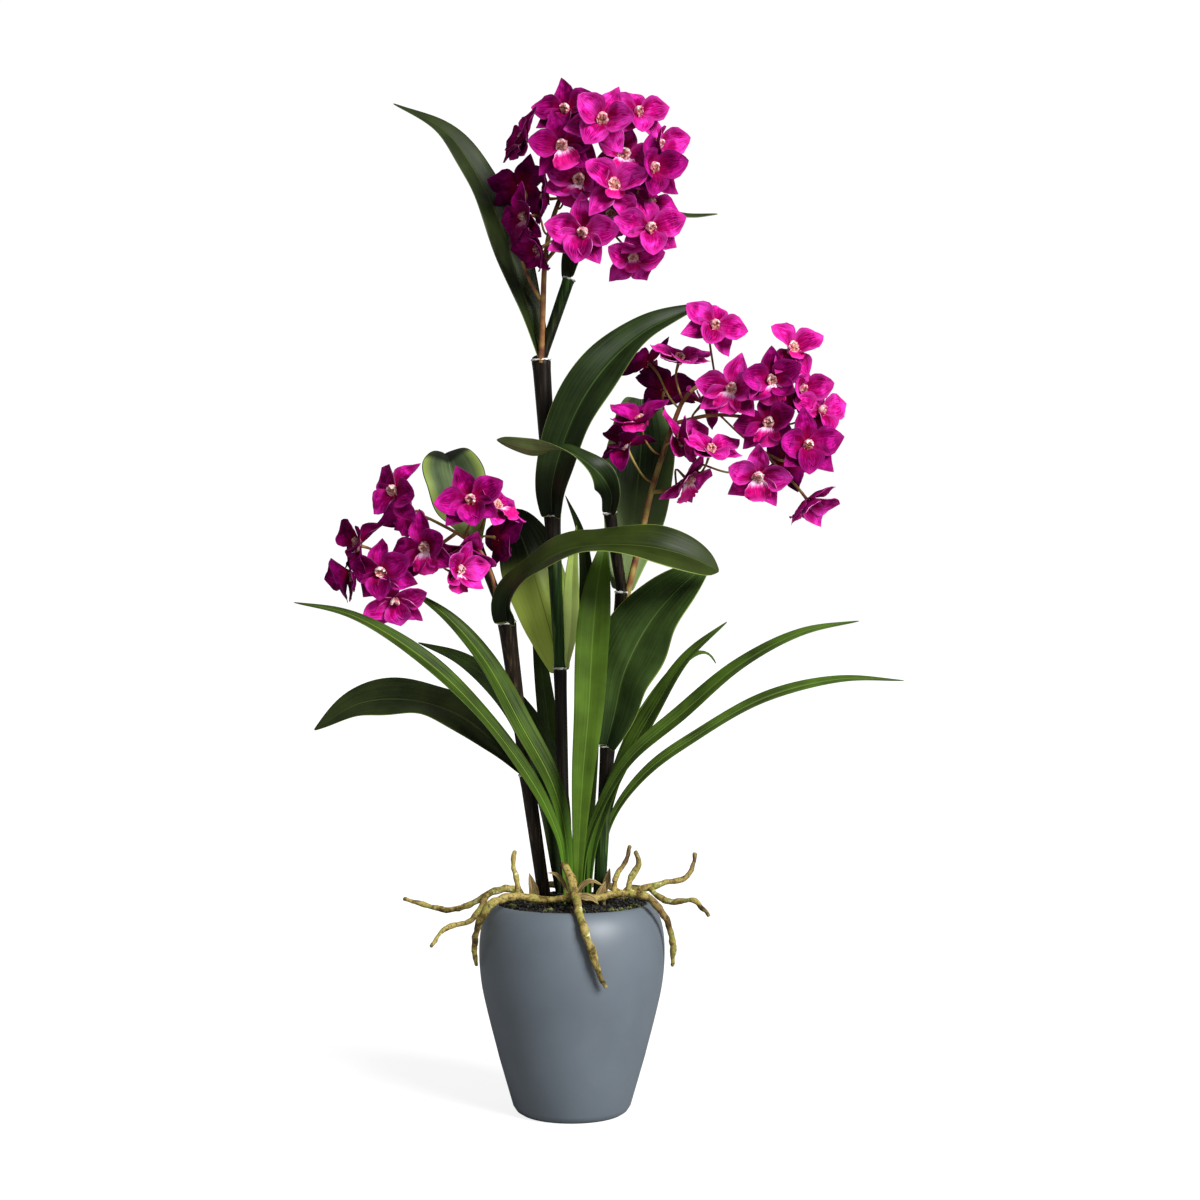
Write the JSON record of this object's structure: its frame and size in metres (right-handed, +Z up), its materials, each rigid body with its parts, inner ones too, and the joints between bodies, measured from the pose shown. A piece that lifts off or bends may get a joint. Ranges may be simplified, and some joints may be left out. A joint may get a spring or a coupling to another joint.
{
  "type": "potted dendrobium orchid",
  "caption": "Flowering dendrobium orchid in a round tapered pot, with dark canes, broad and strap leaves, sprays of florets and surface roots.",
  "frame": {"origin": "middle of the pot's flat foot, on the surface that it stands on", "axes": "+Z up, +X to the viewer's right, +Y away from the viewer, towards the back"},
  "size_m": [0.5431, 0.2022, 0.9213],
  "materials": {
    "pot": "satin blue-grey glaze",
    "filler": "rigid foam block",
    "soil": "dark granules",
    "cane": "ribbed dark brown",
    "leaf": "satin dark green",
    "strap": "satin fresh green",
    "root": "matt tan",
    "bract": "dry papery tan",
    "spray": "printed magenta fabric"
  },
  "bodies": {
    "root": {"pot": "pot", "filler": "filler", "soil": "soil", "cane_tall": "cane", "cane_right": "cane", "cane_left": "cane", "leaf_top_left": "leaf", "leaf_top_right": "leaf", "leaf_high_right": "leaf", "leaf_arched_left": "leaf", "leaf_front_arch": "leaf", "leaf_right_broad": "leaf", "leaf_behind_right": "leaf", "leaf_behind_left": "leaf", "leaf_folded_tip": "leaf", "leaf_low_left": "leaf", "leaf_light": "leaf", "strap_far_left": "strap", "strap_left": "strap", "strap_left_back": "strap", "strap_centre": "strap", "strap_right_low": "strap", "strap_right": "strap", "strap_right_short": "strap", "strap_right_curl": "strap", "strap_back_tall": "strap", "strap_back_left": "strap", "bract_left": "bract", "bract_right": "bract", "roots_front": "root", "roots_left": "root", "roots_right": "root", "roots_back": "root", "spray_top": "spray", "spray_right": "spray", "spray_left": "spray"}
  },
  "joints": []
}
